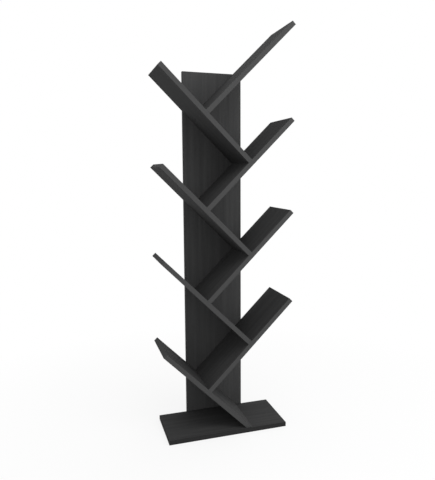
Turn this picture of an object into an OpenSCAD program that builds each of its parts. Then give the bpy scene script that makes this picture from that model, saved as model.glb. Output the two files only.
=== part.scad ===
// Tree shaped bookcase. Eight equal shelf boards zigzag up the front of a flat trunk:
// each one leans half a right angle and stands square on the one below it.
// X runs along the base, Y runs from the front to the trunk, Z is up.
// The origin is the middle of the base's underside.

/* [Shelves] */
// Length of a shelf board along its slope
shelf_l = 400; // [360:5:440]
// Depth of a shelf board from its front edge to the trunk
shelf_d = 185; // [160:5:240]
// Thickness of a shelf board
shelf_t = 15; // [12:1:20]
// Clear distance between a shelf and the next one above it on the same side
bay = 195; // [170:5:215]
// Distance from the trunk's middle line to the foot of a left shelf
left_foot_x = 79; // [65:1:95]

/* [Trunk] */
// Width of the trunk
trunk_w = 204; // [190:2:240]
// Thickness of the trunk
trunk_t = 15; // [12:1:20]
// Height of the trunk above the foot of the topmost shelf
trunk_above = 143; // [125:1:180]

/* [Base] */
// Width of the base
base_w = 404; // [340:4:480]
// Depth of the base from its front edge to the trunk
base_d = 190; // [170:5:260]
// Thickness of the base
base_t = 15; // [12:1:20]
// Distance from the trunk's middle line to the toe of the lowest shelf
toe_x = 82; // [74:1:92]

/* [Edging] */
// Thickness of the edging glued to the boards' edges
band_t = 1; // [0.6:0.1:2]
// Radius of the edging's outer corners
band_r = 0.5; // [0.2:0.1:0.5]
// Seam between two strips of edging where they meet at a corner
strip_gap = 0.1; // [0.05:0.05:0.3]

/* [Screws] */
// Outer diameter of a panel screw
screw_d = 6.3; // [5:0.1:7]
// Length of a panel screw with its head
screw_l = 50; // [40:1:55]
// Diameter of a panel screw's countersunk head
head_d = 10; // [9:0.5:11]
// Height of the straight rim of a countersunk head
head_rim = 0.5; // [0.3:0.1:1]
// Width across the flats of the hex socket
socket_af = 4; // [3:0.5:5]
// Depth of the hex socket
socket_depth = 2.5; // [2:0.1:3]
// Length of a screw's tapered point
point_l = 3; // [2:0.5:5]
// Distance along a shelf from its foot to its first trunk screw
first_screw_u = 60; // [45:1:75]
// Distance along a shelf from its foot to its second trunk screw
second_screw_u = 150; // [120:1:165]
// Distance from a shelf's front or back edge to its joint screws
joint_screw_inset = 50; // [46:1:60]
// Distance from the trunk's side edge to the outer base screws
base_screw_inset = 17; // [12:1:30]
// Outer diameter of a foot screw
foot_screw_d = 4; // [3:0.1:4.5]
// Diameter of a foot screw's countersunk head
foot_head_d = 8; // [7:0.5:9]
// Depth that a foot screw reaches into the lowest shelf
foot_screw_bite = 9; // [6:0.5:9]

/* [Dowels] */
// Diameter of a dowel
dowel_d = 6; // [5:0.5:8]
// Length of a dowel
dowel_l = 30; // [24:1:40]
// Depth that a dowel reaches into the face of a board
dowel_bite = 9; // [6:0.5:9]
// Width of the chamfer around a dowel's ends
dowel_chamfer = 0.8; // [0.4:0.1:1.5]

/* [Caps] */
// Diameter of the cap over a joint screw's head
cap_d = 13; // [12:0.5:16]
// Height of a cap above the board
cap_h = 1; // [0.8:0.1:2]
// Width of the chamfer around a cap
cap_chamfer = 0.4; // [0.2:0.1:0.6]
// Length of the plug that holds a cap in the screw's socket
plug_l = 1.8; // [1:0.1:1.9]

/* [Clearances] */
// Gap around screws, dowels and plugs in their holes
hole_gap = 0.1; // [0.05:0.01:0.2]
// Room left past the end of a screw or a dowel
end_gap = 0.6; // [0.3:0.1:0.9]

/* [Hidden] */
$fn = 48;
// Two equal boards that meet square each lean half a right angle
lean = 45;
slant = cos(lean);
shelf_count = 8;
// How far a cutter runs past the face it opens
overrun = band_t;
// A strip that ends at a corner stops this far from the outer face of the strip it meets
corner_step = band_t + strip_gap;

// Heights that repeat: two steps up the zigzag and one
tier_h = (bay + shelf_t) / slant;
step_h = tier_h / 2;
right_foot_x = left_foot_x - step_h;

// The trunk stands behind the base and behind every shelf
trunk_front = base_d / 2;
trunk_back = trunk_front + trunk_t;
shelf_back = trunk_front;
shelf_front = shelf_back - shelf_d;
shelf_middle = (shelf_front + shelf_back) / 2;
joint_screw_ys = [shelf_front + joint_screw_inset, shelf_back - joint_screw_inset];

// The lowest shelf's top face meets the base at its toe, and the other feet follow from it
function foot_z(i) = base_t + toe_x - left_foot_x + i * step_h;
// Where the lowest shelf's top face runs out at the base, along the slope
toe_u = (left_foot_x - toe_x) / slant;
foot_screw_share = 0.75;
foot_screw_x = toe_x - foot_screw_share * shelf_t / slant;
trunk_h = foot_z(shelf_count - 1) + trunk_above;

base_screw_x = trunk_w / 2 - base_screw_inset;

// Width of a screw's point as a share of its shank
point_share = 0.4;
hex_sides = 6;

board_colour = "#333436";
edging_colour = "#3f4042";
steel_colour = "#b4b7ba";
black_steel_colour = "#2b2b2d";
wood_colour = "#c8a878";
cap_colour = "#2c2d2f";

// Frames of the boards

// Puts children into shelf i's own frame: X up the slope from its foot, Z out of its top
// face, and Z = 0 on its under face. Even shelves rise to the left, odd ones to the right.
module on_shelf(i) {
  is_left = i % 2 == 0;
  foot_x = is_left ? left_foot_x : right_foot_x;
  translate([foot_x, 0, foot_z(i)])
    mirror([is_left ? 1 : 0, 0, 0])
      rotate([0, -lean, 0])
        translate([0, 0, -shelf_t])
          children();
}

// Places of the fasteners: children stand with their head at the origin and point along +Z

module at_shelf_screws(i) {
  on_shelf(i)
    for (u = [first_screw_u, second_screw_u])
      translate([u, trunk_back, shelf_t / 2]) rotate([90, 0, 0]) children();
}

// The joint at shelf i's foot: through the shelf below and into the end of shelf i
module at_joint_screws(i) {
  on_shelf(i)
    for (y = joint_screw_ys)
      translate([-shelf_t, y, shelf_t / 2]) rotate([0, 90, 0]) children();
}

module at_joint_dowel(i) {
  on_shelf(i)
    translate([-dowel_bite, shelf_middle, shelf_t / 2]) rotate([0, 90, 0]) children();
}

module at_base_screws() {
  for (x = [-base_screw_x, 0, base_screw_x])
    translate([x, trunk_back, base_t / 2]) rotate([90, 0, 0]) children();
}

module at_base_dowels() {
  for (x = [-base_screw_x / 2, base_screw_x / 2])
    translate([x, trunk_front + dowel_bite, base_t / 2]) rotate([90, 0, 0]) children();
}

module at_foot_screws() {
  for (y = joint_screw_ys)
    translate([foot_screw_x, y, 0]) children();
}

// Fasteners and their holes

// A countersunk screw without its socket, or the hole for one when it is given a gap
module screw_body(shank_d, top_d, length, gap) {
  cone_h = (top_d - shank_d) / 2;
  shank_r = shank_d / 2 + gap;
  rotate_extrude()
    polygon([
      [0, gap > 0 ? -overrun : 0],
      [top_d / 2 + gap, gap > 0 ? -overrun : 0],
      [top_d / 2 + gap, head_rim],
      [shank_r, head_rim + cone_h],
      [shank_r, length - point_l],
      [gap > 0 ? shank_r : shank_r * point_share, gap > 0 ? length + end_gap : length],
      [0, gap > 0 ? length + end_gap : length]
    ]);
}

module hex_prism(across_flats, length) {
  cylinder(d = across_flats / cos(180 / hex_sides), h = length, $fn = hex_sides);
}

module panel_screw() {
  difference() {
    screw_body(screw_d, head_d, screw_l, 0);
    translate([0, 0, -overrun]) hex_prism(socket_af, socket_depth + overrun);
  }
}

module panel_screw_hole() {
  screw_body(screw_d, head_d, screw_l, hole_gap);
}

module foot_screw_hole() {
  screw_body(foot_screw_d, foot_head_d, base_t + foot_screw_bite, hole_gap);
}

// A cross recess takes the driver
module foot_screw() {
  recess_w = foot_screw_d / 4;
  recess_depth = foot_screw_d / 4;
  difference() {
    screw_body(foot_screw_d, foot_head_d, base_t + foot_screw_bite, 0);
    for (turn = [0, 90])
      rotate([0, 0, turn])
        translate([-foot_screw_d / 2, -recess_w / 2, -overrun])
          cube([foot_screw_d, recess_w, recess_depth + overrun]);
  }
}

module dowel() {
  rotate_extrude()
    polygon([
      [0, 0],
      [dowel_d / 2 - dowel_chamfer, 0],
      [dowel_d / 2, dowel_chamfer],
      [dowel_d / 2, dowel_l - dowel_chamfer],
      [dowel_d / 2 - dowel_chamfer, dowel_l],
      [0, dowel_l]
    ]);
}

module dowel_hole() {
  translate([0, 0, -end_gap])
    cylinder(d = dowel_d + 2 * hole_gap, h = dowel_l + 2 * end_gap);
}

// A round cap that lies on the board, with a hexagonal plug in the screw's socket
module cap() {
  rotate_extrude()
    polygon([
      [0, -cap_h],
      [cap_d / 2 - cap_chamfer, -cap_h],
      [cap_d / 2, cap_chamfer - cap_h],
      [cap_d / 2, 0],
      [0, 0]
    ]);
  translate([0, 0, -cap_h / 2]) hex_prism(socket_af - 2 * hole_gap, plug_l + cap_h / 2);
}

// Boards and their edging

// Side outline of shelf i: the lowest one is mitred to lie flat on the base
module shelf_outline(i, length) {
  foot_top_u = i == 0 ? toe_u : 0;
  foot_under_u = i == 0 ? toe_u + shelf_t : 0;
  polygon([[foot_under_u, 0], [length, 0], [length, shelf_t], [foot_top_u, shelf_t]]);
}

module shelf_slab(i, front, back, length) {
  translate([0, back, 0])
    rotate([90, 0, 0]) linear_extrude(back - front) shelf_outline(i, length);
}

// Every hole in shelf i, cut in the place where the whole bookcase has it
module shelf_holes(i) {
  at_shelf_screws(i) panel_screw_hole();
  if (i == 0) at_foot_screws() foot_screw_hole();
  if (i > 0) at_joint_screws(i) panel_screw_hole();
  if (i > 0) at_joint_dowel(i) dowel_hole();
  if (i < shelf_count - 1) at_joint_screws(i + 1) panel_screw_hole();
  if (i < shelf_count - 1) at_joint_dowel(i + 1) dowel_hole();
}

module shelf_board(i) {
  color(board_colour)
    difference() {
      on_shelf(i) shelf_slab(i, shelf_front + band_t, shelf_back - band_t, shelf_l - band_t);
      shelf_holes(i);
    }
}

// Takes the sharp corner off an edge that runs along X, with the material towards +Y and +Z
module corner_cut(length) {
  translate([-overrun, 0, 0])
    rotate([90, 0, 90])
      linear_extrude(length + 2 * overrun)
        difference() {
          translate([-overrun, -overrun]) square(band_r + overrun);
          translate([band_r, band_r]) circle(band_r);
        }
}

// A strip of edging along X. Its outer face looks to -Y, and it is as wide as the board is thick.
module strip(length, width) {
  difference() {
    cube([length, band_t, width]);
    corner_cut(length);
    translate([0, 0, width]) mirror([0, 0, 1]) corner_cut(length);
  }
}

// The strip along shelf i's front edge, which follows the mitre on the lowest shelf
module shelf_front_strip(i) {
  start_u = min(toe_u, 0);
  intersection() {
    translate([start_u, shelf_front, 0]) strip(shelf_l - start_u, shelf_t);
    shelf_slab(i, shelf_front - overrun, shelf_back + overrun, shelf_l);
  }
}

module shelf_edging(i) {
  color(edging_colour)
    difference() {
      on_shelf(i) {
        shelf_front_strip(i);
        translate([0, shelf_front + shelf_back, 0]) mirror([0, 1, 0]) shelf_front_strip(i);
        translate([shelf_l, shelf_front + corner_step, 0])
          rotate([0, 0, 90]) strip(shelf_d - 2 * corner_step, shelf_t);
      }
      at_shelf_screws(i) panel_screw_hole();
    }
}

module left_shelf_1() { shelf_board(0); }
module right_shelf_1() { shelf_board(1); }
module left_shelf_2() { shelf_board(2); }
module right_shelf_2() { shelf_board(3); }
module left_shelf_3() { shelf_board(4); }
module right_shelf_3() { shelf_board(5); }
module left_shelf_4() { shelf_board(6); }
module right_shelf_4() { shelf_board(7); }

module left_edging_1() { shelf_edging(0); }
module right_edging_1() { shelf_edging(1); }
module left_edging_2() { shelf_edging(2); }
module right_edging_2() { shelf_edging(3); }
module left_edging_3() { shelf_edging(4); }
module right_edging_3() { shelf_edging(5); }
module left_edging_4() { shelf_edging(6); }
module right_edging_4() { shelf_edging(7); }

module trunk_panel() {
  color(board_colour)
    difference() {
      translate([band_t - trunk_w / 2, trunk_front, 0])
        cube([trunk_w - 2 * band_t, trunk_t, trunk_h - band_t]);
      for (i = [0 : shelf_count - 1]) at_shelf_screws(i) panel_screw_hole();
      at_base_screws() panel_screw_hole();
      at_base_dowels() dowel_hole();
    }
}

// Two side strips run the full height, and the top strip lies between them
module trunk_edging() {
  color(edging_colour) {
    for (side = [0, 1])
      mirror([side, 0, 0])
        translate([-trunk_w / 2, trunk_front, 0])
          rotate([-90, 0, 0]) rotate([0, 0, -90]) strip(trunk_h, trunk_t);
    translate([corner_step - trunk_w / 2, trunk_front, trunk_h])
      rotate([-90, 0, 0]) strip(trunk_w - 2 * corner_step, trunk_t);
  }
}

module base_panel() {
  color(board_colour)
    difference() {
      translate([band_t - base_w / 2, band_t - base_d / 2, 0])
        cube([base_w - 2 * band_t, base_d - 2 * band_t, base_t]);
      at_base_screws() panel_screw_hole();
      at_base_dowels() dowel_hole();
      at_foot_screws() foot_screw_hole();
    }
}

// The front and back strips run the full width, and the side strips lie between them
module base_edging() {
  color(edging_colour)
    difference() {
      union() {
        for (back = [0, 1])
          mirror([0, back, 0])
            translate([-base_w / 2, -base_d / 2, 0]) strip(base_w, base_t);
        for (left = [0, 1])
          mirror([left, 0, 0])
            translate([base_w / 2, corner_step - base_d / 2, 0])
              rotate([0, 0, 90]) strip(base_d - 2 * corner_step, base_t);
      }
      at_base_screws() panel_screw_hole();
      at_base_dowels() dowel_hole();
    }
}

module shelf_screws() {
  color(steel_colour)
    for (i = [0 : shelf_count - 1]) at_shelf_screws(i) panel_screw();
}

module joint_screws() {
  color(steel_colour)
    for (i = [1 : shelf_count - 1]) at_joint_screws(i) panel_screw();
}

module joint_dowels() {
  color(wood_colour)
    for (i = [1 : shelf_count - 1]) at_joint_dowel(i) dowel();
}

module joint_caps() {
  color(cap_colour)
    for (i = [1 : shelf_count - 1]) at_joint_screws(i) cap();
}

module base_screws() {
  color(steel_colour) at_base_screws() panel_screw();
}

module base_dowels() {
  color(wood_colour) at_base_dowels() dowel();
}

module foot_screws() {
  color(black_steel_colour) at_foot_screws() foot_screw();
}

trunk_panel();
base_panel();
left_shelf_1();
right_shelf_1();
left_shelf_2();
right_shelf_2();
left_shelf_3();
right_shelf_3();
left_shelf_4();
right_shelf_4();
trunk_edging();
base_edging();
left_edging_1();
right_edging_1();
left_edging_2();
right_edging_2();
left_edging_3();
right_edging_3();
left_edging_4();
right_edging_4();
shelf_screws();
joint_screws();
joint_dowels();
joint_caps();
base_screws();
base_dowels();
foot_screws();
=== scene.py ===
# %% [markdown]
# # A tree shaped bookcase, dressed and photographed
#
# The bookcase is flat-pack furniture: ten boards of chipboard under a charcoal foil, strips of
# plastic edging along their edges, and a bag of screws, dowels and caps that hold them together.
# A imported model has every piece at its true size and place. In this lesson each piece gets its
# finish, the small hardware is modelled anew in full detail, and the whole is lit and seen
# through a camera.
#
# We begin by loading the model. Its pieces are called nodes, and all of them ride on one body,
# because nothing on a bookcase moves. Everything is in metres, with Z up. The box round the bare
# model is kept, to be compared with the dressed one at the end.

# %% Load the frame
import bmesh
import bpy
import math
import numpy as np
import random
from mathutils import Matrix, Vector


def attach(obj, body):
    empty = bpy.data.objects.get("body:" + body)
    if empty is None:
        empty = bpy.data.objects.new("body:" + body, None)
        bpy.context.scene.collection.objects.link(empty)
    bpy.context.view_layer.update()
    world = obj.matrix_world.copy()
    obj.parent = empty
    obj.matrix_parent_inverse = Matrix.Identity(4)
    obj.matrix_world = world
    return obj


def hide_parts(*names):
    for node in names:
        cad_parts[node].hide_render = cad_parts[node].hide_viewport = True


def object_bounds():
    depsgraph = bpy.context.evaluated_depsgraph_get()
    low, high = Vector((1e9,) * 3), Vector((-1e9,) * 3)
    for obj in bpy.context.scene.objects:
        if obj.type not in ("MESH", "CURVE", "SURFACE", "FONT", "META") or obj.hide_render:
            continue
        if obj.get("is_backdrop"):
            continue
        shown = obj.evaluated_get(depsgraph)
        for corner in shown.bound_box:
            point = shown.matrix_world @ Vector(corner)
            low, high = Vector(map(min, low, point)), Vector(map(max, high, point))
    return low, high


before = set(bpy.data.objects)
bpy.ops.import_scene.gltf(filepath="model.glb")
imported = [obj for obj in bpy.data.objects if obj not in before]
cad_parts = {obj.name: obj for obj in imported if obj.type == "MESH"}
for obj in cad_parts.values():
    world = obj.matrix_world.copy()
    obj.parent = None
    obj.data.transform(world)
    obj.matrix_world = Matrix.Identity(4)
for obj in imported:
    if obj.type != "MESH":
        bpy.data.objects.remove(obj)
model_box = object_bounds()
BODY = "root"
MM = 0.001
print("nodes:", len(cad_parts), "- height", round(model_box[1].z, 3), "m")

# %% [markdown]
# ## The camera
#
# The picture is taken from the left of the bookcase, a little above its middle, and looks slightly
# down. A camera can be nudged about until it looks right, but the corners of ten straight boards
# tell exactly where it stood, so its place and its two angles are simply given. The long side of
# an upright picture is its height, and the sensor's width counts along that side. The picture is
# cut off centre from a wider one, which a small sideways shift of the lens repeats.

# %% Camera
CAMERA_PLACE = (-0.4783, -1.6586, 0.8715)
LOOK_DOWN_DEG = 7.50
TURN_RIGHT_DEG = 18.74
LENS_MM = 39.07
SENSOR_MM = 36.0
SHIFT_SIDEWAYS = -0.0565

bpy.ops.object.camera_add(
    location=CAMERA_PLACE,
    rotation=(math.radians(90 - LOOK_DOWN_DEG), 0, math.radians(-TURN_RIGHT_DEG)),
)
camera = bpy.context.object
camera.name = "camera"
camera.data.sensor_width = SENSOR_MM
camera.data.lens = LENS_MM
camera.data.shift_x = SHIFT_SIDEWAYS
bpy.context.scene.camera = camera
bpy.context.scene.view_settings.view_transform = "Standard"
print("camera at", CAMERA_PLACE, "with a lens of", LENS_MM, "mm")

# %% [markdown]
# ## Tools for materials
#
# A material is a net of nodes. A few short helpers keep the recipes below readable. One starts a
# material and finds its shader, one adds a node with its settings, and one joins an output to an
# input. The others make what the recipes share: a change of range, a noise stretched along a
# chosen direction, sums and mixtures of signals, a colour between two others, and relief.

# %% Material tools
NOISE_ROUGHNESS = 0.55


def new_material(name):
    material = bpy.data.materials.new(name)
    material.use_nodes = True
    return material, material.node_tree.nodes["Principled BSDF"]


def add_node(owner, kind, **settings):
    node = owner.node_tree.nodes.new(kind)
    for key, value in settings.items():
        setattr(node, key, value)
    return node


def join(owner, output, socket):
    owner.node_tree.links.new(output, socket)


def rescaled(owner, output, low, high, from_low=0.0, from_high=1.0):
    """The same signal, moved from one range to another."""
    node = add_node(owner, "ShaderNodeMapRange")
    node.inputs["From Min"].default_value = from_low
    node.inputs["From Max"].default_value = from_high
    node.inputs["To Min"].default_value = low
    node.inputs["To Max"].default_value = high
    join(owner, output, node.inputs["Value"])
    return node.outputs["Result"]


def streaks(owner, place, turn_deg, size, detail=4.0, distortion=0.0):
    """Noise whose grains are as large as size = (along, across, across), turned about Y."""
    turned = add_node(owner, "ShaderNodeMapping", vector_type="TEXTURE")
    turned.inputs["Rotation"].default_value = (0, math.radians(turn_deg), 0)
    turned.inputs["Scale"].default_value = size
    join(owner, place, turned.inputs["Vector"])
    noise = add_node(owner, "ShaderNodeTexNoise")
    noise.inputs["Scale"].default_value = 1.0
    noise.inputs["Detail"].default_value = detail
    noise.inputs["Roughness"].default_value = NOISE_ROUGHNESS
    noise.inputs["Distortion"].default_value = distortion
    join(owner, turned.outputs["Vector"], noise.inputs["Vector"])
    return noise.outputs["Fac"]


def calculated(owner, operation, first, second):
    """A sum, product or the like of a signal with another signal or a number."""
    node = add_node(owner, "ShaderNodeMath", operation=operation)
    join(owner, first, node.inputs[0])
    if isinstance(second, (int, float)):
        node.inputs[1].default_value = second
    else:
        join(owner, second, node.inputs[1])
    return node.outputs[0]


def mixed(owner, first, second):
    """The sum of two signals, each given as (signal, share)."""
    first_part = calculated(owner, "MULTIPLY", *first)
    second_part = calculated(owner, "MULTIPLY", *second)
    return calculated(owner, "ADD", first_part, second_part)


def two_colours(owner, share, first, second):
    """A colour between two others."""
    node = add_node(owner, "ShaderNodeMix", data_type="RGBA")
    node.inputs["A"].default_value = (*first, 1)
    node.inputs["B"].default_value = (*second, 1)
    join(owner, share, node.inputs["Factor"])
    return node.outputs["Result"]


def raised(owner, shader, height, depth):
    """Lets the light read a signal as relief, this many metres deep."""
    bump = add_node(owner, "ShaderNodeBump")
    bump.inputs["Distance"].default_value = depth
    join(owner, height, bump.inputs["Height"])
    join(owner, bump.outputs["Normal"], shader.inputs["Normal"])


print("material tools are ready")

# %% [markdown]
# ## Floor and background
#
# A plain white studio has a sheet of paper for a floor, and a large plane does for it here. Lit
# only by lamps it would turn grey further off and show a horizon, and stronger lamps would
# bleach the bookcase. So what the camera, a mirror or a glass sees of the paper is mixed with
# plain white: wholly white further out, and near the bookcase with enough of the lit paper left
# in the mixture to keep its shadow.

# %% Floor
FLOOR_SIZE = 24.0
PAPER = (0.82, 0.82, 0.82)
WHITE = (1.0, 1.0, 1.0)
LIT_PAPER_SHARE = 0.20
SHADOW_REACH = 1.2


def seen_directly(owner):
    """1 for what the camera, a mirror or a glass sees, and 0 for light on its way to a surface."""
    path = add_node(owner, "ShaderNodeLightPath")
    mirror_or_glass = calculated(
        owner, "MAXIMUM", path.outputs["Is Glossy Ray"], path.outputs["Is Transmission Ray"]
    )
    return calculated(owner, "MAXIMUM", path.outputs["Is Camera Ray"], mirror_or_glass)


floor_paper, paper_shader = new_material("floor_paper")
paper_shader.inputs["Base Color"].default_value = (*PAPER, 1)
paper_shader.inputs["Roughness"].default_value = 1.0
paper_shader.inputs["Specular IOR Level"].default_value = 0.0

paper_place = add_node(floor_paper, "ShaderNodeTexCoord")
distance = add_node(floor_paper, "ShaderNodeVectorMath", operation="LENGTH")
join(floor_paper, paper_place.outputs["Object"], distance.inputs[0])
white_share = rescaled(
    floor_paper, distance.outputs["Value"], 1 - LIT_PAPER_SHARE, 1.0, 0.0, SHADOW_REACH
)
plain_white = add_node(floor_paper, "ShaderNodeEmission")
plain_white.inputs["Color"].default_value = (*WHITE, 1)
mixture = add_node(floor_paper, "ShaderNodeMixShader")
join(
    floor_paper,
    calculated(floor_paper, "MULTIPLY", white_share, seen_directly(floor_paper)),
    mixture.inputs[0],
)
join(floor_paper, paper_shader.outputs[0], mixture.inputs[1])
join(floor_paper, plain_white.outputs[0], mixture.inputs[2])
paper_out = floor_paper.node_tree.nodes["Material Output"]
join(floor_paper, mixture.outputs[0], paper_out.inputs["Surface"])

bpy.ops.mesh.primitive_plane_add(size=FLOOR_SIZE)
floor = bpy.context.object
floor.name = "floor"
floor.data.materials.append(floor_paper)
floor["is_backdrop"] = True
print("floor:", FLOOR_SIZE, "m across")

# %% [markdown]
# The room round the studio is white to look at. Its own light, which softly fills every shadow,
# is a level of its own, so that the picture's background and the depth of the shadows between
# the shelves can be set apart from each other.

# %% Room
ROOM_LIGHT = 0.65

room = bpy.data.worlds.new("room")
bpy.context.scene.world = room
room.use_nodes = True
backdrop = room.node_tree.nodes["Background"]
backdrop.inputs["Color"].default_value = (*WHITE, 1)
join(room, rescaled(room, seen_directly(room), ROOM_LIGHT, 1.0), backdrop.inputs["Strength"])
print("the room's own light:", ROOM_LIGHT)

# %% [markdown]
# ## Lamps
#
# The bookcase's upper boards are a little lighter than its foot, its right bays are lighter than
# its left ones, the trunk darkens from the open side of each left bay to the closed corner, and
# no shadow has a sharp edge. That is the work of large soft lamps. Two of them stand close by,
# and light most what is near them: the main one on the right, a little higher than the top
# shelf, and one above the front. Two more are so far off that all heights get the same from
# them. A broad one in front lights the front edges, and one behind on the right lights the
# shelves' slopes, and keeps the back from sinking into black when someone walks round it. Spot
# lamps would draw hard shadows, and a bright sky alone would light all heights alike.

# %% Lamps
LAMP_AIM = Vector((0, 0, 0.65))
DISTANT_SPREAD_DEG = 60


def soft_lamp(name, place, size, watts):
    bpy.ops.object.light_add(type="AREA", location=place)
    lamp = bpy.context.object
    lamp.name = name
    lamp.rotation_euler = (LAMP_AIM - Vector(place)).to_track_quat("-Z", "Y").to_euler()
    lamp.data.shape = "SQUARE"
    lamp.data.size = size
    lamp.data.energy = watts
    lamp.visible_camera = False
    print("lamp:", name, watts, "W")


def distant_lamp(name, turn_deg, rise_deg, strength):
    """Light from far off, turned so far to the right from the front, and that high up."""
    bpy.ops.object.light_add(
        type="SUN", rotation=(math.radians(90 - rise_deg), 0, math.radians(turn_deg))
    )
    lamp = bpy.context.object
    lamp.name = name
    lamp.data.angle = math.radians(DISTANT_SPREAD_DEG)
    lamp.data.energy = strength
    print("lamp:", name, strength, "W a square metre")


soft_lamp("main_lamp", (1.10, -1.30, 1.50), 0.9, 13)
soft_lamp("top_lamp", (0.0, -1.10, 2.20), 1.1, 10)
distant_lamp("front_lamp", 0, 8, 0.80)
distant_lamp("back_lamp", 135, 35, 0.52)

# %% [markdown]
# ## Charcoal foil
#
# The boards' faces are paper foil, printed with a very quiet wood grain in two near blacks and
# pressed with fine pores. Photographs of wood could be wrapped round the boards, but noise
# stretched along each board's length gives the same streaks at any distance and needs no picture.
# Broad streaks carry the figure, narrow ones the fibres, and the narrowest are cut off at a
# threshold, so that only the deepest remain, as pores. The grain of the trunk stands up, the
# base's runs along it, and each shelf's rises with the shelf, so the same recipe is made four
# times with four turns. The trunk gets the same foil in lighter shades. This is painted light,
# standing in for light that the lamps don't give the trunk.

# %% Foil recipe
FOIL_DARK = (0.0311, 0.0313, 0.0318)
FOIL_LIGHT = (0.0543, 0.0543, 0.0545)
# The trunk's two shades are the foil's made lighter: painted light, not a lighter foil.
PAINTED_LIT_TRUNK_DARK = (0.0445, 0.0447, 0.0453)
PAINTED_LIT_TRUNK_LIGHT = (0.0733, 0.0733, 0.0735)
FOIL_GLOSS = 0.040
FOIL_ROUGHNESS = (0.78, 0.92)
FIGURE_SIZE = (0.42, 0.016, 0.016)
FIBRE_SIZE = (0.09, 0.0022, 0.0022)
PORE_SIZE = (0.014, 0.0007, 0.0007)
FIGURE_WAVER = 0.4
FIGURE_RANGE = (0.3, 0.7)
PORE_RANGE = (0.62, 0.72)
FIGURE_SHARE = 0.6
FIBRE_SHARE = 0.4
PORE_SHARE = 0.35
FOIL_RELIEF = 0.03 * MM


def object_place(owner):
    return add_node(owner, "ShaderNodeTexCoord").outputs["Object"]


def foil_material(name, turn_deg, dark=FOIL_DARK, light=FOIL_LIGHT):
    foil, shader = new_material(name)
    place = object_place(foil)
    figure_noise = streaks(foil, place, turn_deg, FIGURE_SIZE, distortion=FIGURE_WAVER)
    figure = rescaled(foil, figure_noise, 0.0, 1.0, *FIGURE_RANGE)
    fibre = streaks(foil, place, turn_deg, FIBRE_SIZE)
    pore_noise = streaks(foil, place, turn_deg, PORE_SIZE, detail=1.0)
    pores = rescaled(foil, pore_noise, 0.0, 1.0, *PORE_RANGE)
    grain = mixed(foil, (figure, FIGURE_SHARE), (fibre, FIBRE_SHARE))
    grain = calculated(foil, "SUBTRACT", grain, calculated(foil, "MULTIPLY", pores, PORE_SHARE))
    join(foil, two_colours(foil, grain, dark, light), shader.inputs["Base Color"])
    join(foil, rescaled(foil, fibre, *FOIL_ROUGHNESS), shader.inputs["Roughness"])
    shader.inputs["Specular IOR Level"].default_value = FOIL_GLOSS
    raised(foil, shader, grain, FOIL_RELIEF)
    print("foil:", name, "turned by", turn_deg, "degrees")
    return foil, shader


ALONG_X = 0
ALONG_Z = -90
RISES_LEFT = 45
RISES_RIGHT = -45
base_foil, _ = foil_material("base_foil", ALONG_X)
trunk_foil_painted_light, trunk_shader = foil_material("trunk_foil_painted_light", ALONG_Z, PAINTED_LIT_TRUNK_DARK, PAINTED_LIT_TRUNK_LIGHT)
left_foil, _ = foil_material("left_foil", RISES_LEFT)
right_foil, _ = foil_material("right_foil", RISES_RIGHT)

# %% [markdown]
# ## Raw chipboard
#
# The trunk stands on its lower end, which has no edging and shows the bare chips. The same
# material can carry both finishes: a mask that is 1 only at the very bottom of the board swaps the
# foil's colour for chips. A cell pattern gives each chip its own shade.

# %% Chipboard
CHIP_DARK = (0.30, 0.19, 0.10)
CHIP_LIGHT = (0.62, 0.47, 0.30)
CHIP_SIZE = 1.6 * MM
RAW_BELOW = 0.1 * MM

chip_place = object_place(trunk_foil_painted_light)
chips = add_node(trunk_foil_painted_light, "ShaderNodeTexVoronoi")
chips.inputs["Scale"].default_value = 1 / CHIP_SIZE
join(trunk_foil_painted_light, chip_place, chips.inputs["Vector"])
chip_shade = add_node(trunk_foil_painted_light, "ShaderNodeSeparateColor")
join(trunk_foil_painted_light, chips.outputs["Color"], chip_shade.inputs["Color"])
heights = add_node(trunk_foil_painted_light, "ShaderNodeSeparateXYZ")
join(trunk_foil_painted_light, chip_place, heights.inputs["Vector"])
is_raw = calculated(trunk_foil_painted_light, "LESS_THAN", heights.outputs["Z"], RAW_BELOW)
foil_or_chips = add_node(trunk_foil_painted_light, "ShaderNodeMix", data_type="RGBA")
foil_colour = trunk_shader.inputs["Base Color"].links[0].from_socket
chip_colour = two_colours(trunk_foil_painted_light, chip_shade.outputs["Red"], CHIP_DARK, CHIP_LIGHT)
join(trunk_foil_painted_light, is_raw, foil_or_chips.inputs["Factor"])
join(trunk_foil_painted_light, foil_colour, foil_or_chips.inputs["A"])
join(trunk_foil_painted_light, chip_colour, foil_or_chips.inputs["B"])
join(trunk_foil_painted_light, foil_or_chips.outputs["Result"], trunk_shader.inputs["Base Color"])
print("the trunk's lower end shows its chips")

# %% [markdown]
# ## Edging
#
# The edging is a strip of solid plastic in the foil's colour, a little lighter, with fine lines
# drawn along it by the nozzle it came out of and a pebbled skin. It follows its board, so it
# takes the same turns. The base's edging is given darker shades than the rest. This is painted
# shade at the foot of the bookcase.

# %% Edging recipe
BAND_DARK = (0.0446, 0.0448, 0.0453)
BAND_LIGHT = (0.0637, 0.0637, 0.0639)
# The base's edging is the same plastic in darker shades: painted shade at the foot of the bookcase.
PAINTED_SHADE_BASE_BAND_DARK = (0.0191, 0.0192, 0.0194)
PAINTED_SHADE_BASE_BAND_LIGHT = (0.0292, 0.0292, 0.0294)
BAND_GLOSS = 0.030
BAND_ROUGHNESS = (0.70, 0.85)
DRAWN_LINE_SIZE = (0.15, 0.0011, 0.0011)
PEBBLE_SIZE = (0.0009, 0.0009, 0.0009)
DRAWN_LINE_SHARE = 0.6
PEBBLE_SHARE = 0.4
BAND_RELIEF = 0.03 * MM


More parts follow.
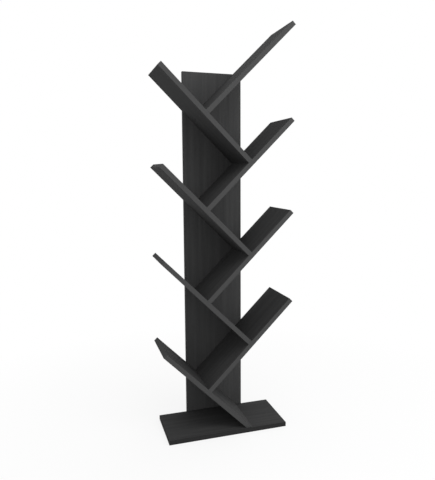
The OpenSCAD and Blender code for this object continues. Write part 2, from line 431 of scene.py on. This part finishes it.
def band_material(name, turn_deg, dark=BAND_DARK, light=BAND_LIGHT):
    band, shader = new_material(name)
    place = object_place(band)
    lines = streaks(band, place, turn_deg, DRAWN_LINE_SIZE, detail=2.0)
    pebbles = streaks(band, place, turn_deg, PEBBLE_SIZE, detail=2.0)
    skin = mixed(band, (lines, DRAWN_LINE_SHARE), (pebbles, PEBBLE_SHARE))
    join(band, two_colours(band, skin, dark, light), shader.inputs["Base Color"])
    join(band, rescaled(band, pebbles, *BAND_ROUGHNESS), shader.inputs["Roughness"])
    shader.inputs["Specular IOR Level"].default_value = BAND_GLOSS
    raised(band, shader, skin, BAND_RELIEF)
    print("edging:", name)
    return band


# The base's edging carries the painted shade.
base_band_painted_shade = band_material("base_band_painted_shade", ALONG_X, PAINTED_SHADE_BASE_BAND_DARK, PAINTED_SHADE_BASE_BAND_LIGHT)
trunk_band = band_material("trunk_band", ALONG_Z)
left_band = band_material("left_band", RISES_LEFT)
right_band = band_material("right_band", RISES_RIGHT)

# %% [markdown]
# ## Dressing the boards
#
# The boards and their edging have their true shape in the model, down to the edging's rounded
# corners and the seams where two strips meet, so they aren't modelled again. Each keeps its mesh,
# and gets its finish by way of its material slots. The first word of a node's name tells which
# way its board runs.

# %% Dress the boards
BOARD_FINISHES = {
    "trunk": (trunk_foil_painted_light, trunk_band),
    "base": (base_foil, base_band_painted_shade),
    "left": (left_foil, left_band),
    "right": (right_foil, right_band),
}


def dress(node_name, material):
    for material_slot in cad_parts[node_name].material_slots:
        material_slot.material = material
    print(node_name, "gets", material.name)


for node_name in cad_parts:
    side = node_name.split("_")[0]
    if side in BOARD_FINISHES:
        foil, band = BOARD_FINISHES[side]
        dress(node_name, band if "edging" in node_name else foil)

# %% [markdown]
# ## Where the small pieces go
#
# The model has the screws, dowels and caps as plain solids, many to a node. Their places could be
# worked out again from the joints, but it is safer to ask the model itself. A copy of a node is
# merged and cut into its loose solids, and each solid is measured. All of them are round about a
# middle line, which is the direction in which their points spread most, or least if the solid is
# flat. The thick end is the head. Each finding is kept as a frame: its origin in the middle of
# the head's outer face, its Z axis into the wood. The findings are sorted by height and then by
# depth, to a tenth of a millimetre, so that they always come in the same order.

# %% Measure the fasteners
MERGE_WITHIN = 0.001 * MM
HEAD_RIM_SHARE = 0.999
SORTING_DIGITS = 4


def start_clean():
    bpy.ops.object.select_all(action="DESELECT")


def only_selected(piece):
    start_clean()
    piece.select_set(True)
    bpy.context.view_layer.objects.active = piece


def loose_solids(node_name):
    """The points of each solid in a node, taken from a copy of it."""
    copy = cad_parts[node_name].copy()
    copy.data = copy.data.copy()
    bpy.context.collection.objects.link(copy)
    only_selected(copy)
    bpy.ops.object.mode_set(mode="EDIT")
    bpy.ops.mesh.select_all(action="SELECT")
    bpy.ops.mesh.remove_doubles(threshold=MERGE_WITHIN)
    bpy.ops.mesh.separate(type="LOOSE")
    bpy.ops.object.mode_set(mode="OBJECT")
    solids = []
    for part in list(bpy.context.selected_objects):
        solids.append(np.array([v.co for v in part.data.vertices]))
        bpy.data.objects.remove(part)
    return solids


def measured(points, is_flat=False):
    """The frame, the length and the largest radius of a round solid."""
    middle = points.mean(0)
    _, directions = np.linalg.eigh(np.cov((points - middle).T))
    axis = directions[:, 0 if is_flat else -1]
    along = (points - middle) @ axis
    radii = np.linalg.norm(points - middle - np.outer(along, axis), axis=1)
    head_heights = along[radii > radii.max() * HEAD_RIM_SHARE]
    if head_heights.mean() > (along.min() + along.max()) / 2:
        axis, along = -axis, -along
    head = Matrix.Translation(middle + axis * along.min())
    turned = head @ Vector(axis).to_track_quat("Z", "Y").to_matrix().to_4x4()
    return turned, float(along.max() - along.min()), float(radii.max())


def height_then_depth(finding):
    place = finding[0].translation
    return round(place.z, SORTING_DIGITS), round(place.y, SORTING_DIGITS)


def fasteners(node_name, is_flat=False):
    """The frames of all solids in a node, and the length and radius that they share."""
    found = [measured(points, is_flat) for points in loose_solids(node_name)]
    found.sort(key=height_then_depth)
    length, radius = found[0][1:]
    size = (round(length / MM, 2), "x", round(2 * radius / MM, 2), "mm")
    print(node_name, "-", len(found), "of", *size)
    return [one[0] for one in found], length, radius


shelf_screw_frames, screw_length, head_radius = fasteners("shelf_screws")
joint_screw_frames, _, _ = fasteners("joint_screws")
base_screw_frames, _, _ = fasteners("base_screws")
foot_screw_frames, foot_screw_length, foot_head_radius = fasteners("foot_screws")
joint_dowel_frames, dowel_length, dowel_radius = fasteners("joint_dowels")
base_dowel_frames, _, _ = fasteners("base_dowels")
cap_frames, cap_length, cap_radius = fasteners("joint_caps", is_flat=True)

# %% [markdown]
# ## Modelling a round piece, ring by ring
#
# Screws, dowels and caps are all turned shapes. They could be drawn as a profile and spun, but
# building them up from a circle, one extruded and scaled ring after another, leaves the
# rings where the eye expects them, and lets a six-sided socket be joined to a round head point by
# point. That works because the socket's outline, once subdivided, has as many points as the ring.
# Two rings in one plane give the bridge between them no direction, so the outline is added a
# little way off, bridged from there, and then pushed into the plane.

# %% Tools for round pieces
RING = 48
HEX_SIDES = 6
CROSS_POINTS = 12
CROSS_CORNER_SHARE = 0.366
OUTLINE_LIFT = 2 * MM
SLACK = 0.01 * MM
SMOOTH_DEG = 35


def edit(piece):
    only_selected(piece)
    bpy.ops.object.mode_set(mode="EDIT")
    bpy.ops.mesh.select_mode(type="VERT")


def choose(piece, test):
    """Selects the points whose place passes the test, with the edges and faces between them."""
    bpy.ops.mesh.select_all(action="DESELECT")
    mesh = bmesh.from_edit_mesh(piece.data)
    for point in mesh.verts:
        point.select_set(test(point.co))
    mesh.select_flush_mode()
    bmesh.update_edit_mesh(piece.data)


def hex_radius(across_flats):
    return across_flats / 2 / math.cos(math.pi / HEX_SIDES)


def at_height(height):
    return lambda place: abs(place.z - height) < SLACK


def on_diagonal(place):
    return abs(abs(place.x) - abs(place.y)) < SLACK


def scale_across(share):
    bpy.ops.transform.resize(value=(share, share, 1), center_override=(0, 0, 0))


def turned_piece(name, profile):
    """A round shell about Z through rings of (height, radius), open at both ends."""
    height, radius = profile[0]
    start_clean()
    bpy.ops.mesh.primitive_circle_add(vertices=RING, radius=radius, location=(0, 0, height))
    piece = bpy.context.object
    piece.name = name
    bpy.ops.object.transform_apply(location=True, rotation=False, scale=False)
    edit(piece)
    bpy.ops.mesh.select_all(action="SELECT")
    for next_height, next_radius in profile[1:]:
        bpy.ops.mesh.extrude_region_move(
            TRANSFORM_OT_translate={"value": (0, 0, next_height - height)}
        )
        scale_across(next_radius / radius)
        height, radius = next_height, next_radius
    return piece


def close_end(piece, height):
    choose(piece, at_height(height))
    bpy.ops.mesh.edge_face_add()


def add_outline(piece, sides, radius, height, turn=0.0):
    """A regular outline in the open end at that height, joined to the ring round it."""
    lifted = height - OUTLINE_LIFT
    bpy.ops.mesh.select_all(action="DESELECT")
    bpy.ops.mesh.primitive_circle_add(
        vertices=sides, radius=radius, location=(0, 0, lifted), rotation=(0, 0, turn)
    )
    if sides == CROSS_POINTS:
        choose(piece, lambda place: at_height(lifted)(place) and on_diagonal(place))
        scale_across(CROSS_CORNER_SHARE)
        choose(piece, at_height(lifted))
    bpy.ops.mesh.subdivide(number_cuts=RING // sides - 1)
    choose(piece, lambda place: at_height(lifted)(place) or at_height(height)(place))
    bpy.ops.mesh.bridge_edge_loops()
    choose(piece, at_height(lifted))
    bpy.ops.transform.translate(value=(0, 0, OUTLINE_LIFT))


def sink(steps):
    """Extrudes the selected outline by each (depth, share) in turn, and closes it."""
    for depth, share in steps:
        bpy.ops.mesh.extrude_region_move(TRANSFORM_OT_translate={"value": (0, 0, depth)})
        scale_across(share)
    bpy.ops.mesh.edge_face_add()


def finish_mesh(piece, smooth_deg=SMOOTH_DEG):
    """Turns all faces outwards, leaves edit mode and smooths all but the sharp edges."""
    bpy.ops.mesh.select_all(action="SELECT")
    bpy.ops.mesh.normals_make_consistent(inside=False)
    bpy.ops.object.mode_set(mode="OBJECT")
    bpy.ops.object.shade_smooth_by_angle(angle=math.radians(smooth_deg))


print("a ring has", RING, "points")

# %% [markdown]
# ## Panel screws
#
# A panel screw holds chipboard: a countersunk head with a hexagon socket, a short plain shank that
# centres it in the first board, and a deep, coarse thread with a thin core for the second. We
# begin with the core, a turned piece whose flat head is left open for its socket.

# %% Core of a screw
SHANK_SHARE = 0.63
CORE_SHARE = 0.68
RIM_HEIGHT = 0.5 * MM
SHOULDER_HEIGHT = 0.4 * MM
RIM_ROUNDING = 0.15 * MM


def screw_core(name, length, top_radius, shank_radius, plain_length):
    """Head, plain shank and thin core, open at the head's outer face."""
    cone_height = top_radius - shank_radius
    core_radius = shank_radius * CORE_SHARE
    core = turned_piece(name, [
        (0, top_radius - RIM_ROUNDING),
        (RIM_ROUNDING, top_radius),
        (RIM_HEIGHT, top_radius),
        (RIM_HEIGHT + cone_height, shank_radius),
        (plain_length, shank_radius),
        (plain_length + SHOULDER_HEIGHT, core_radius),
        (length, core_radius),
    ])
    close_end(core, length)
    return core


print("a screw's core is", CORE_SHARE, "as thick as its shank")

# %% [markdown]
# The thread could be cut out of a thick core, but a ridge laid round a thin one is both simpler
# and true to how it looks: a small trapezoid swept round and upwards by a Screw modifier, with
# its foot sunk into the core. Its crest stays just inside the shank's radius.

# %% Thread of a screw
RIDGE_FOOT_SHARE = 0.34
RIDGE_CREST_SHARE = 0.25
RIDGE_REACH_SHARE = 0.985
RIDGE_CORNERS = 4
RIDGE_SUNK = 0.2 * MM
STEPS_A_TURN = 24


def thread(name, shank_radius, pitch, start, end):
    """A ridge that winds round the core from start to end."""
    inner = shank_radius * CORE_SHARE - RIDGE_SUNK
    outer = shank_radius * RIDGE_REACH_SHARE
    start_clean()
    bpy.ops.mesh.primitive_plane_add(size=1, rotation=(math.pi / 2, 0, 0))
    ridge = bpy.context.object
    ridge.name = name
    bpy.ops.object.transform_apply(location=False, rotation=True, scale=False)
    edit(ridge)
    bpy.ops.mesh.select_all(action="SELECT")
    bpy.ops.transform.resize(value=(outer - inner, 1, pitch * RIDGE_FOOT_SHARE))
    bpy.ops.transform.translate(value=((outer + inner) / 2, 0, start))
    choose(ridge, lambda place: place.x > (outer + inner) / 2)
    bpy.ops.transform.resize(
        value=(1, 1, RIDGE_CREST_SHARE), center_override=(outer, 0, start)
    )
    bpy.ops.mesh.select_all(action="SELECT")
    bpy.ops.mesh.delete(type="ONLY_FACE")
    bpy.ops.object.mode_set(mode="OBJECT")
    bpy.ops.object.modifier_add(type="SCREW")
    winding = ridge.modifiers[-1]
    winding.screw_offset = pitch
    winding.iterations = round((end - start) / pitch)
    winding.steps = STEPS_A_TURN
    winding.render_steps = STEPS_A_TURN
    bpy.ops.object.modifier_apply(modifier=winding.name)
    edit(ridge)
    bpy.ops.mesh.select_all(action="SELECT")
    bpy.ops.mesh.fill_holes(sides=RIDGE_CORNERS)
    bpy.ops.object.mode_set(mode="OBJECT")
    return ridge


print("a thread has", STEPS_A_TURN, "steps a turn")

# %% [markdown]
# The thread starts a quarter of a turn before the shank ends, and stops half a turn short of the
# tip, to the nearest whole turn. Once it is joined to the core, the last millimetres of both are
# drawn in step by step, each step from a little further on, which makes a blunt point.

# %% Point of a screw
START_EARLY_TURNS = 0.25
STOP_SHORT_TURNS = 0.5
POINT_STEPS = 5
POINT_STEP_SHARE = 0.86
POINT_LENGTH = 3 * MM


def sharpen(screw, length):
    """Draws the end in, a little more at every step, thread and core alike."""
    edit(screw)
    for step in range(POINT_STEPS):
        reach = length - POINT_LENGTH * (1 - step / POINT_STEPS)
        choose(screw, lambda place: place.z > reach)
        scale_across(POINT_STEP_SHARE)


def add_thread(screw, shank_radius, pitch, plain_length, length):
    """Winds the thread round a finished core, joins the two and sharpens them."""
    start = plain_length - START_EARLY_TURNS * pitch
    end = length - STOP_SHORT_TURNS * pitch
    ridge = thread(screw.name + "_thread", shank_radius, pitch, start, end)
    start_clean()
    ridge.select_set(True)
    screw.select_set(True)
    bpy.context.view_layer.objects.active = screw
    bpy.ops.object.join()
    sharpen(screw, length)
    finish_mesh(screw)
    print(screw.name, "has", len(screw.data.polygons), "faces")


print("a point is", POINT_LENGTH / MM, "mm long")

# %% [markdown]
# The socket is sunk into the open head: a short slope at its mouth, straight walls, and a bottom
# that tapers as a punch leaves it. The thread comes last, when the head is closed.

# %% Panel screw
SOCKET_ACROSS = 4 * MM
SOCKET_STEPS = [(0.15 * MM, 0.94), (2.0 * MM, 1.0), (0.35 * MM, 0.6)]
THREAD_PITCH = 3 * MM
PLAIN_LENGTH = 11 * MM


def panel_screw(name):
    shank_radius = head_radius * SHANK_SHARE
    screw = screw_core(name, screw_length, head_radius, shank_radius, PLAIN_LENGTH)
    add_outline(screw, HEX_SIDES, hex_radius(SOCKET_ACROSS) / SOCKET_STEPS[0][1], 0)
    sink(SOCKET_STEPS)
    finish_mesh(screw)
    add_thread(screw, shank_radius, THREAD_PITCH, PLAIN_LENGTH, screw_length)
    return screw


model_screw = panel_screw("model_screw")

# %% [markdown]
# ## Foot screws
#
# Two short wood screws come up through the base into the lowest shelf. They are made like the
# panel screws, except that a cross takes the driver. Its outline starts as a circle of twelve
# points, four of which are drawn in to make the corners between the arms.

# %% Foot screw
FOOT_SHANK_SHARE = 0.5
FOOT_PITCH = 1.8 * MM
FOOT_PLAIN_LENGTH = 9 * MM
CROSS_RADIUS = 2.2 * MM
CROSS_STEPS = [(0.1 * MM, 0.95), (1.4 * MM, 0.45)]


def foot_screw(name):
    shank_radius = foot_head_radius * FOOT_SHANK_SHARE
    screw = screw_core(name, foot_screw_length, foot_head_radius, shank_radius, FOOT_PLAIN_LENGTH)
    add_outline(screw, CROSS_POINTS, CROSS_RADIUS, 0, turn=math.pi / CROSS_POINTS)
    sink(CROSS_STEPS)
    finish_mesh(screw)
    add_thread(screw, shank_radius, FOOT_PITCH, FOOT_PLAIN_LENGTH, foot_screw_length)
    return screw


model_foot_screw = foot_screw("model_foot_screw")

# %% [markdown]
# ## Dowels
#
# A beech dowel is pressed through a toothed ring, which leaves sixteen flutes for the glue to
# escape by. Every third point of each ring is drawn in, from end to end.

# %% Dowel
DOWEL_CHAMFER = 0.8 * MM
DOWEL_SMOOTH_DEG = 20
FLUTE_EVERY = 3
FLUTE_SHARE = 0.93
FLUTE_SLACK = 0.1


def on_flute(place):
    """Whether a point is one of those that are drawn in, counted round the ring."""
    position = math.atan2(place.y, place.x) / (2 * math.pi / RING)
    return abs(position / FLUTE_EVERY - round(position / FLUTE_EVERY)) < FLUTE_SLACK


def dowel(name):
    piece = turned_piece(name, [
        (0, dowel_radius - DOWEL_CHAMFER),
        (DOWEL_CHAMFER, dowel_radius),
        (dowel_length - DOWEL_CHAMFER, dowel_radius),
        (dowel_length, dowel_radius - DOWEL_CHAMFER),
    ])
    close_end(piece, 0)
    close_end(piece, dowel_length)
    choose(piece, on_flute)
    scale_across(FLUTE_SHARE)
    finish_mesh(piece, DOWEL_SMOOTH_DEG)
    print(name, "has", len(piece.data.polygons), "faces")
    return piece


model_dowel = dowel("model_dowel")

# %% [markdown]
# ## Caps
#
# A small plastic cap hides each screw head on the under faces. It is a shallow dome with a
# straight rim, and a hexagonal plug that grips in the screw's socket. The dome's rings follow an
# arc, which the height and the radius of the cap fix between them. The plug is sunk like a
# socket, only outwards, in two steps: straight, and then a little tapered to find its way in.

# %% Cap
CAP_HEIGHT = 1 * MM
CAP_RIM = 0.3 * MM
DOME_RINGS = 8
PLUG_ACROSS = 3.8 * MM
PLUG_STEPS = [(0.8, 1.0), (0.2, 0.9)]


def dome_profile():
    """Rings from the rim's top edge to near the middle, on an arc."""
    rise = CAP_HEIGHT - CAP_RIM
    arc_radius = (cap_radius ** 2 + rise ** 2) / (2 * rise)
    rings = []
    for ring in range(DOME_RINGS):
        radius = cap_radius * math.cos(math.pi / 2 * ring / DOME_RINGS)
        drop = arc_radius - math.sqrt(arc_radius ** 2 - radius ** 2)
        rings.append((drop, radius))
    return rings


def cap(name):
    piece = turned_piece(name, [(CAP_HEIGHT, cap_radius)] + dome_profile())
    bpy.ops.mesh.edge_face_add()
    add_outline(piece, HEX_SIDES, hex_radius(PLUG_ACROSS), CAP_HEIGHT)
    plug_length = cap_length - CAP_HEIGHT
    sink([(plug_length * part, share) for part, share in PLUG_STEPS])
    finish_mesh(piece)
    print(name, "has", len(piece.data.polygons), "faces")
    return piece


model_cap = cap("model_cap")

# %% [markdown]
# ## Copies in place
#
# Each model piece is copied to every frame that was measured. No two screws end their last
# turn at the same angle, so each copy is turned about its own middle by chance. The seed is the
# number of copies, so the fourteen caps get the same turns as the fourteen screws whose
# sockets they plug. A copy has a mesh of its own, and its place is applied to that mesh. Its
# points remember where they were in the model piece, for patterns that run along it. It is named
# after the node that it replaces: the first of the shelf_screws is shelf_screw_1.

# %% Place the copies
OWN_PLACE = "own_place"


def remember_place(piece):
    places = np.array([v.co for v in piece.data.vertices], np.float32)
    memory = piece.data.attributes.new(OWN_PLACE, "FLOAT_VECTOR", "POINT")
    memory.data.foreach_set("vector", places.ravel())


def place_copies(model, frames, node_name, slot_name, material):
    name = node_name.removesuffix("s")
    turns = random.Random(len(frames))
    for number, target in enumerate(frames, 1):
        piece = model.copy()
        piece.data = model.data.copy()
        piece.name = name + "_" + str(number)
        bpy.context.collection.objects.link(piece)
        turn = turns.uniform(0, 2 * math.pi)
        piece.matrix_world = target @ Matrix.Rotation(turn, 4, "Z")
        only_selected(piece)
        bpy.ops.object.transform_apply(location=True, rotation=True, scale=True)
        piece.data.materials.append(material)
        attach(piece, BODY)
        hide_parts(node_name)
    print(len(frames), "pieces named", name)


print("a copy keeps the points' places in", OWN_PLACE)

# %% [markdown]
# ## Finishes of the small pieces
#
# These pieces point in all directions, so their patterns read the place that each point had in the
# model piece, where the axis stands upright. Zinc plating is bright and bluish, clouded by the
# crystals it grows in, with faint rings from the dies that rolled the screw. Black phosphate on the
# foot screws has the same clouds, darker and duller.

# %% Steel
ZINC_DARK = (0.30, 0.31, 0.33)
ZINC_LIGHT = (0.50, 0.51, 0.52)
ZINC_ROUGHNESS = (0.22, 0.42)
PHOSPHATE_DARK = (0.020, 0.020, 0.021)
PHOSPHATE_LIGHT = (0.050, 0.050, 0.052)
PHOSPHATE_ROUGHNESS = (0.45, 0.65)
CLOUD_SIZE = (0.0016, 0.0016, 0.0016)
RING_SIZE = (0.00015, 0.02, 0.02)
CLOUD_WAVER = 0.6
CLOUD_SHARE = 0.7
RING_SHARE = 0.3
STEEL_RELIEF = 0.02 * MM


def own_place(owner):
    return add_node(owner, "ShaderNodeAttribute", attribute_name=OWN_PLACE).outputs["Vector"]


def steel_material(name, dark, light, roughness):
    steel, shader = new_material(name)
    place = own_place(steel)
    clouds = streaks(steel, place, ALONG_Z, CLOUD_SIZE, distortion=CLOUD_WAVER)
    rings = streaks(steel, place, ALONG_Z, RING_SIZE, detail=2.0)
    skin = mixed(steel, (clouds, CLOUD_SHARE), (rings, RING_SHARE))
    join(steel, two_colours(steel, skin, dark, light), shader.inputs["Base Color"])
    join(steel, rescaled(steel, clouds, *roughness), shader.inputs["Roughness"])
    shader.inputs["Metallic"].default_value = 1.0
    raised(steel, shader, skin, STEEL_RELIEF)
    print("steel:", name)
    return steel


zinc_plating = steel_material("zinc_plating", ZINC_DARK, ZINC_LIGHT, ZINC_ROUGHNESS)
black_phosphate = steel_material(
    "black_phosphate", PHOSPHATE_DARK, PHOSPHATE_LIGHT, PHOSPHATE_ROUGHNESS
)

# %% [markdown]
# Beech shows fine fibres along the dowel, and short brown flecks, which are the deepest part of
# a finer noise, as the foil's pores were.

# %% Beech
BEECH_DARK = (0.43, 0.26, 0.13)
BEECH_LIGHT = (0.64, 0.45, 0.27)
BEECH_ROUGHNESS = (0.6, 0.75)
BEECH_FIBRE_SIZE = (0.012, 0.0005, 0.0005)
FLECK_SIZE = (0.0022, 0.0002, 0.0002)
FLECK_RANGE = (0.62, 0.7)
FLECK_DEPTH = 0.5
BEECH_RELIEF = 0.05 * MM

bare_beech, beech_shader = new_material("bare_beech")
beech_place = own_place(bare_beech)
beech_fibre = streaks(bare_beech, beech_place, ALONG_Z, BEECH_FIBRE_SIZE)
fleck_noise = streaks(bare_beech, beech_place, ALONG_Z, FLECK_SIZE, detail=1.0)
flecks = rescaled(bare_beech, fleck_noise, 0.0, FLECK_DEPTH, *FLECK_RANGE)
beech_grain = calculated(bare_beech, "SUBTRACT", beech_fibre, flecks)
beech_colour = two_colours(bare_beech, beech_grain, BEECH_DARK, BEECH_LIGHT)
beech_roughness = rescaled(bare_beech, beech_fibre, *BEECH_ROUGHNESS)
join(bare_beech, beech_colour, beech_shader.inputs["Base Color"])
join(bare_beech, beech_roughness, beech_shader.inputs["Roughness"])
raised(bare_beech, beech_shader, beech_grain, BEECH_RELIEF)
print("beech is ready")

# %% [markdown]
# The caps are moulded plastic with a fine, even pebble.

# %% Cap plastic
CAP_DARK = (0.029, 0.029, 0.030)
CAP_LIGHT = (0.038, 0.038, 0.039)
CAP_ROUGHNESS = (0.5, 0.62)
CAP_PEBBLE_SIZE = (0.0004, 0.0004, 0.0004)
CAP_GLOSS = 0.05
CAP_RELIEF = 0.03 * MM

moulded_plastic, cap_shader = new_material("moulded_plastic")
cap_place = own_place(moulded_plastic)
cap_pebbles = streaks(moulded_plastic, cap_place, ALONG_Z, CAP_PEBBLE_SIZE, detail=2.0)
cap_colour = two_colours(moulded_plastic, cap_pebbles, CAP_DARK, CAP_LIGHT)
cap_roughness = rescaled(moulded_plastic, cap_pebbles, *CAP_ROUGHNESS)
join(moulded_plastic, cap_colour, cap_shader.inputs["Base Color"])
join(moulded_plastic, cap_roughness, cap_shader.inputs["Roughness"])
cap_shader.inputs["Specular IOR Level"].default_value = CAP_GLOSS
raised(moulded_plastic, cap_shader, cap_pebbles, CAP_RELIEF)
print("cap plastic is ready")

# %% [markdown]
# ## Every piece in its place
#
# With the finishes ready, the copies can be set. One table says for each node which model piece
# takes its place, where to, and with which slot and finish. The model pieces have done their
# work after that, and are removed.

# %% Place the small pieces
MODEL_PIECES = (model_screw, model_foot_screw, model_dowel, model_cap)
SMALL_PIECES = [
    (model_screw, shelf_screw_frames, "shelf_screws", "zinc_steel", zinc_plating),
    (model_screw, joint_screw_frames, "joint_screws", "zinc_steel", zinc_plating),
    (model_screw, base_screw_frames, "base_screws", "zinc_steel", zinc_plating),
    (model_foot_screw, foot_screw_frames, "foot_screws", "black_steel", black_phosphate),
    (model_dowel, joint_dowel_frames, "joint_dowels", "beech", bare_beech),
    (model_dowel, base_dowel_frames, "base_dowels", "beech", bare_beech),
    (model_cap, cap_frames, "joint_caps", "cap_plastic", moulded_plastic),
]

for model_piece in MODEL_PIECES:
    remember_place(model_piece)
for small_piece in SMALL_PIECES:
    place_copies(*small_piece)
for model_piece in MODEL_PIECES:
    bpy.data.objects.remove(model_piece)

# %% [markdown]
# ## The last measure
#
# A dressed piece must stay where the model has it. The box round the whole bookcase is measured
# once more, and the largest change between the two boxes is printed.

# %% Sizes
visual_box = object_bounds()
corners = zip(model_box[0][:] + model_box[1][:], visual_box[0][:] + visual_box[1][:])
largest_change = max(abs(bare - dressed) for bare, dressed in corners)
print("dressing changes the box by", round(largest_change / MM, 3), "mm at most")
